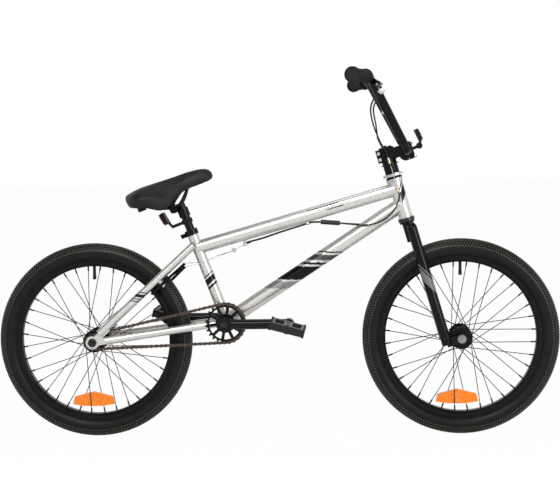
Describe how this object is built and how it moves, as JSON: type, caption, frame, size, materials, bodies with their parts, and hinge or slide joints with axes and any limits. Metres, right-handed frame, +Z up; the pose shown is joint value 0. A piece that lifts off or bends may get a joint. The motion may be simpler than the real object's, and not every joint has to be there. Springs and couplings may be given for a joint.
{
  "type": "bmx bike",
  "caption": "20-inch freestyle BMX bike with a pale frame, black wheels, fork, bars and cranks, and a rear brake with a detangler.",
  "frame": {"origin": "on the ground, halfway between the two axles, on the bike's middle plane", "axes": "+X forward along the bike, +Y to the rider's left, +Z up"},
  "size_m": [1.4577, 0.7246, 0.9351],
  "materials": {
    "frame_paint": "pearl gloss",
    "gloss_black": "gloss",
    "dark_steel": "satin",
    "steel": "satin",
    "silver_alloy": "satin",
    "matt_plastic": "matt",
    "rubber": "matt",
    "tyre": "matt",
    "reflector": "gloss",
    "saddle_cover": "matt"
  },
  "bodies": {
    "frame": {"head_tube": "frame_paint", "top_tube": "frame_paint", "down_tube": "frame_paint", "seat_tube": "frame_paint", "bottom_bracket_shell": "frame_paint", "chain_stays": "frame_paint", "seat_stays": "frame_paint", "rear_dropouts": "frame_paint", "seat_clamp": "gloss_black", "headset_cups": "gloss_black", "bearings": "dark_steel", "rear_axle": "dark_steel", "cable_stops": "steel", "lower_brake_cable": "rubber", "brake_bosses": "steel", "chain": "dark_steel"},
    "seat": {"seat_post": "gloss_black", "saddle_clamp": "gloss_black", "saddle_rails": "gloss_black", "saddle_base": "matt_plastic", "saddle_pad": "saddle_cover", "rear_reflector": "matt_plastic"},
    "steering": {"steerer_tube": "gloss_black", "fork_legs": "gloss_black", "front_axle": "steel", "headset_spacers": "gloss_black", "stem": "gloss_black", "stem_faceplate": "gloss_black", "stem_bolts": "steel", "top_cap": "gloss_black", "handlebar": "gloss_black", "crossbar": "gloss_black", "grips": "rubber", "lever_bracket": "gloss_black", "front_reflector": "matt_plastic", "upper_brake_cable": "rubber"},
    "front_wheel": {"front_tyre": "tyre", "front_inner_tube": "rubber", "front_rim": "gloss_black", "front_spokes": "gloss_black", "front_hub": "gloss_black", "front_wheel_reflector": "reflector"},
    "rear_wheel": {"rear_tyre": "tyre", "rear_inner_tube": "rubber", "rear_rim": "gloss_black", "rear_spokes": "gloss_black", "rear_hub": "gloss_black", "rear_wheel_reflector": "reflector"},
    "driver": {"rear_cog": "dark_steel"},
    "crank": {"crank_arms": "gloss_black", "chainring": "gloss_black", "crank_spindle": "dark_steel"},
    "right_pedal": {"right_pedal": "matt_plastic"},
    "left_pedal": {"left_pedal": "matt_plastic"},
    "lever": {"brake_lever": "silver_alloy"},
    "gyro_upper": {"gyro_upper_plate": "silver_alloy"},
    "gyro_lower": {"gyro_lower_plate": "silver_alloy"},
    "right_arm": {"right_brake_arm": "gloss_black"},
    "left_arm": {"left_brake_arm": "gloss_black"},
    "straddle": {"straddle_hanger": "silver_alloy"}
  },
  "joints": [
    {"name": "steering_turn", "type": "hinge", "parent": "frame", "child": "steering", "pos_m": [0.32425, 0, 0.60921], "axis": [-0.2756, 0, 0.9613], "continuous": true},
    {"name": "front_wheel_spin", "type": "hinge", "parent": "steering", "child": "front_wheel", "pos_m": [0.475, 0, 0.254], "axis": [0, 1, 0], "continuous": true},
    {"name": "rear_wheel_spin", "type": "hinge", "parent": "frame", "child": "rear_wheel", "pos_m": [-0.475, 0, 0.254], "axis": [0, 1, 0], "continuous": true},
    {"name": "crank_spin", "type": "hinge", "parent": "frame", "child": "crank", "pos_m": [-0.13034, 0, 0.3], "axis": [0, 1, 0], "continuous": true, "deforming": ["chain"]},
    {"name": "driver_spin", "type": "hinge", "parent": "frame", "child": "driver", "pos_m": [-0.475, 0, 0.254], "axis": [0, 1, 0], "continuous": true},
    {"name": "right_pedal_spin", "type": "hinge", "parent": "crank", "child": "right_pedal", "pos_m": [0.03467, 0, 0.3], "axis": [0, 1, 0], "continuous": true},
    {"name": "left_pedal_spin", "type": "hinge", "parent": "crank", "child": "left_pedal", "pos_m": [-0.29534, 0, 0.3], "axis": [0, 1, 0], "continuous": true},
    {"name": "seat_height", "type": "slide", "parent": "frame", "child": "seat", "axis": [-0.3502, 0, 0.9367], "range_m": [-0.012, 0.05]},
    {"name": "brake_lever_pull", "type": "hinge", "parent": "steering", "child": "lever", "pos_m": [0.26547, -0.23361, 0.89713], "axis": [-0.5646, 0.1469, -0.8122], "range_deg": [0, 20], "stiffness_Nm_per_rad": 1.2, "springref_deg": -5.73, "deforming": ["lower_brake_cable", "upper_brake_cable"]},
    {"name": "gyro_upper_slide", "type": "slide", "parent": "steering", "child": "gyro_upper", "axis": [-0.2756, 0, 0.9613], "range_m": [0, 0.0045]},
    {"name": "gyro_lower_slide", "type": "slide", "parent": "frame", "child": "gyro_lower", "axis": [-0.2756, 0, 0.9613], "range_m": [0, 0.0045]},
    {"name": "right_arm_pull", "type": "hinge", "parent": "frame", "child": "right_arm", "pos_m": [-0.30445, -0.0358, 0.41575], "axis": [0.6726, 0, -0.74], "range_deg": [0, 2.2]},
    {"name": "left_arm_pull", "type": "hinge", "parent": "frame", "child": "left_arm", "pos_m": [-0.30445, 0.0358, 0.41575], "axis": [-0.6726, 0, 0.74], "range_deg": [0, 2.2]},
    {"name": "straddle_pull", "type": "slide", "parent": "frame", "child": "straddle", "axis": [0.8838, 0, 0.4678], "range_m": [0, 0.0045]}
  ],
  "couplings": [
    {"joint": "driver_spin", "follows": "crank_spin", "ratio": 2.7778},
    {"joint": "gyro_upper_slide", "follows": "brake_lever_pull", "m_per_rad": 0.012892},
    {"joint": "gyro_lower_slide", "follows": "brake_lever_pull", "m_per_rad": 0.012892},
    {"joint": "right_arm_pull", "follows": "brake_lever_pull", "ratio": 0.11},
    {"joint": "left_arm_pull", "follows": "brake_lever_pull", "ratio": 0.11},
    {"joint": "straddle_pull", "follows": "brake_lever_pull", "m_per_rad": 0.012892}
  ]
}
